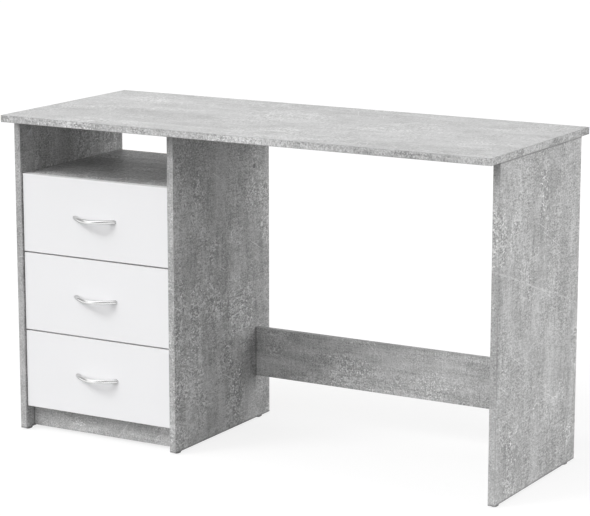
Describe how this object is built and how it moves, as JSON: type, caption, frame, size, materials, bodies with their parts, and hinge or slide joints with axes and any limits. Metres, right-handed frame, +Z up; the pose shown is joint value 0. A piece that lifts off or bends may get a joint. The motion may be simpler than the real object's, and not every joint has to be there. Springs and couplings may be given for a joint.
{
  "type": "writing desk",
  "caption": "Writing desk with a concrete-look desktop on a pedestal of white drawers under an open compartment, with a leg panel and a low rear stretcher.",
  "frame": {"origin": "on the floor below the middle of the desktop", "axes": "+X to the right as seen from the chair, +Y to the back, +Z up"},
  "size_m": [1.23, 0.5, 0.75],
  "materials": {
    "concrete_laminate": "concrete-look melamine on particle board, matt",
    "white_laminate": "white melamine on particle board, satin",
    "drawer_board": "white foil on particle board",
    "drawer_hardboard": "white lacquered hardboard",
    "hardboard": "grey lacquered hardboard",
    "beech": "plain fluted beech",
    "die_cast_zinc": "bare die-cast zinc",
    "zinc_plated_steel": "bright zinc plate",
    "coated_steel": "white epoxy coating",
    "satin_chrome": "satin chrome plate",
    "nylon": "moulded nylon",
    "glide_plastic": "moulded plastic"
  },
  "bodies": {
    "desk": {"desktop": "concrete_laminate", "left_side_panel": "concrete_laminate", "inner_side_panel": "concrete_laminate", "leg_panel": "concrete_laminate", "shelf": "concrete_laminate", "bottom_board": "concrete_laminate", "plinth": "concrete_laminate", "stretcher": "concrete_laminate", "back_panel": "hardboard", "cam_locks": "die_cast_zinc", "cam_bolts": "zinc_plated_steel", "wood_dowels": "beech", "floor_glides": "glide_plastic", "back_panel_nails": "zinc_plated_steel", "left_cabinet_runners": "coated_steel", "right_cabinet_runners": "coated_steel", "cabinet_runner_screws": "zinc_plated_steel"},
    "bottom_drawer": {"bottom_drawer_front": "white_laminate", "bottom_drawer_left_side": "drawer_board", "bottom_drawer_right_side": "drawer_board", "bottom_drawer_back": "drawer_board", "bottom_drawer_bottom": "drawer_hardboard", "bottom_drawer_handle": "satin_chrome", "bottom_drawer_left_rail": "coated_steel", "bottom_drawer_right_rail": "coated_steel", "bottom_drawer_screws": "zinc_plated_steel", "bottom_drawer_dowels": "beech"},
    "bottom_left_front_roller": {"bottom_left_front_roller": "nylon"},
    "bottom_left_rear_roller": {"bottom_left_rear_roller": "nylon"},
    "bottom_right_front_roller": {"bottom_right_front_roller": "nylon"},
    "bottom_right_rear_roller": {"bottom_right_rear_roller": "nylon"},
    "middle_drawer": {"middle_drawer_front": "white_laminate", "middle_drawer_left_side": "drawer_board", "middle_drawer_right_side": "drawer_board", "middle_drawer_back": "drawer_board", "middle_drawer_bottom": "drawer_hardboard", "middle_drawer_handle": "satin_chrome", "middle_drawer_left_rail": "coated_steel", "middle_drawer_right_rail": "coated_steel", "middle_drawer_screws": "zinc_plated_steel", "middle_drawer_dowels": "beech"},
    "middle_left_front_roller": {"middle_left_front_roller": "nylon"},
    "middle_left_rear_roller": {"middle_left_rear_roller": "nylon"},
    "middle_right_front_roller": {"middle_right_front_roller": "nylon"},
    "middle_right_rear_roller": {"middle_right_rear_roller": "nylon"},
    "top_drawer": {"top_drawer_front": "white_laminate", "top_drawer_left_side": "drawer_board", "top_drawer_right_side": "drawer_board", "top_drawer_back": "drawer_board", "top_drawer_bottom": "drawer_hardboard", "top_drawer_handle": "satin_chrome", "top_drawer_left_rail": "coated_steel", "top_drawer_right_rail": "coated_steel", "top_drawer_screws": "zinc_plated_steel", "top_drawer_dowels": "beech"},
    "top_left_front_roller": {"top_left_front_roller": "nylon"},
    "top_left_rear_roller": {"top_left_rear_roller": "nylon"},
    "top_right_front_roller": {"top_right_front_roller": "nylon"},
    "top_right_rear_roller": {"top_right_rear_roller": "nylon"}
  },
  "joints": [
    {"name": "bottom_drawer_slide", "type": "slide", "parent": "desk", "child": "bottom_drawer", "axis": [0, -1, 0], "range_m": [0, 0.26]},
    {"name": "bottom_left_front_roller_spin", "type": "hinge", "parent": "desk", "child": "bottom_left_front_roller", "pos_m": [-0.59145, -0.1685, 0.1051], "axis": [1, 0, 0], "continuous": true},
    {"name": "bottom_left_rear_roller_spin", "type": "hinge", "parent": "bottom_drawer", "child": "bottom_left_rear_roller", "pos_m": [-0.59145, 0.1555, 0.1051], "axis": [1, 0, 0], "continuous": true},
    {"name": "bottom_right_front_roller_spin", "type": "hinge", "parent": "desk", "child": "bottom_right_front_roller", "pos_m": [-0.20255, -0.1685, 0.1051], "axis": [1, 0, 0], "continuous": true},
    {"name": "bottom_right_rear_roller_spin", "type": "hinge", "parent": "bottom_drawer", "child": "bottom_right_rear_roller", "pos_m": [-0.20255, 0.1555, 0.1051], "axis": [1, 0, 0], "continuous": true},
    {"name": "middle_drawer_slide", "type": "slide", "parent": "desk", "child": "middle_drawer", "axis": [0, -1, 0], "range_m": [0, 0.26]},
    {"name": "middle_left_front_roller_spin", "type": "hinge", "parent": "desk", "child": "middle_left_front_roller", "pos_m": [-0.59145, -0.1685, 0.2901], "axis": [1, 0, 0], "continuous": true},
    {"name": "middle_left_rear_roller_spin", "type": "hinge", "parent": "middle_drawer", "child": "middle_left_rear_roller", "pos_m": [-0.59145, 0.1555, 0.2901], "axis": [1, 0, 0], "continuous": true},
    {"name": "middle_right_front_roller_spin", "type": "hinge", "parent": "desk", "child": "middle_right_front_roller", "pos_m": [-0.20255, -0.1685, 0.2901], "axis": [1, 0, 0], "continuous": true},
    {"name": "middle_right_rear_roller_spin", "type": "hinge", "parent": "middle_drawer", "child": "middle_right_rear_roller", "pos_m": [-0.20255, 0.1555, 0.2901], "axis": [1, 0, 0], "continuous": true},
    {"name": "top_drawer_slide", "type": "slide", "parent": "desk", "child": "top_drawer", "axis": [0, -1, 0], "range_m": [0, 0.26]},
    {"name": "top_left_front_roller_spin", "type": "hinge", "parent": "desk", "child": "top_left_front_roller", "pos_m": [-0.59145, -0.1685, 0.4751], "axis": [1, 0, 0], "continuous": true},
    {"name": "top_left_rear_roller_spin", "type": "hinge", "parent": "top_drawer", "child": "top_left_rear_roller", "pos_m": [-0.59145, 0.1555, 0.4751], "axis": [1, 0, 0], "continuous": true},
    {"name": "top_right_front_roller_spin", "type": "hinge", "parent": "desk", "child": "top_right_front_roller", "pos_m": [-0.20255, -0.1685, 0.4751], "axis": [1, 0, 0], "continuous": true},
    {"name": "top_right_rear_roller_spin", "type": "hinge", "parent": "top_drawer", "child": "top_right_rear_roller", "pos_m": [-0.20255, 0.1555, 0.4751], "axis": [1, 0, 0], "continuous": true}
  ],
  "couplings": [
    {"joint": "bottom_left_front_roller_spin", "follows": "bottom_drawer_slide", "rad_per_m": 117.65},
    {"joint": "bottom_left_rear_roller_spin", "follows": "bottom_drawer_slide", "rad_per_m": 117.65},
    {"joint": "bottom_right_front_roller_spin", "follows": "bottom_drawer_slide", "rad_per_m": 117.65},
    {"joint": "bottom_right_rear_roller_spin", "follows": "bottom_drawer_slide", "rad_per_m": 117.65},
    {"joint": "middle_left_front_roller_spin", "follows": "middle_drawer_slide", "rad_per_m": 117.65},
    {"joint": "middle_left_rear_roller_spin", "follows": "middle_drawer_slide", "rad_per_m": 117.65},
    {"joint": "middle_right_front_roller_spin", "follows": "middle_drawer_slide", "rad_per_m": 117.65},
    {"joint": "middle_right_rear_roller_spin", "follows": "middle_drawer_slide", "rad_per_m": 117.65},
    {"joint": "top_left_front_roller_spin", "follows": "top_drawer_slide", "rad_per_m": 117.65},
    {"joint": "top_left_rear_roller_spin", "follows": "top_drawer_slide", "rad_per_m": 117.65},
    {"joint": "top_right_front_roller_spin", "follows": "top_drawer_slide", "rad_per_m": 117.65},
    {"joint": "top_right_rear_roller_spin", "follows": "top_drawer_slide", "rad_per_m": 117.65}
  ]
}
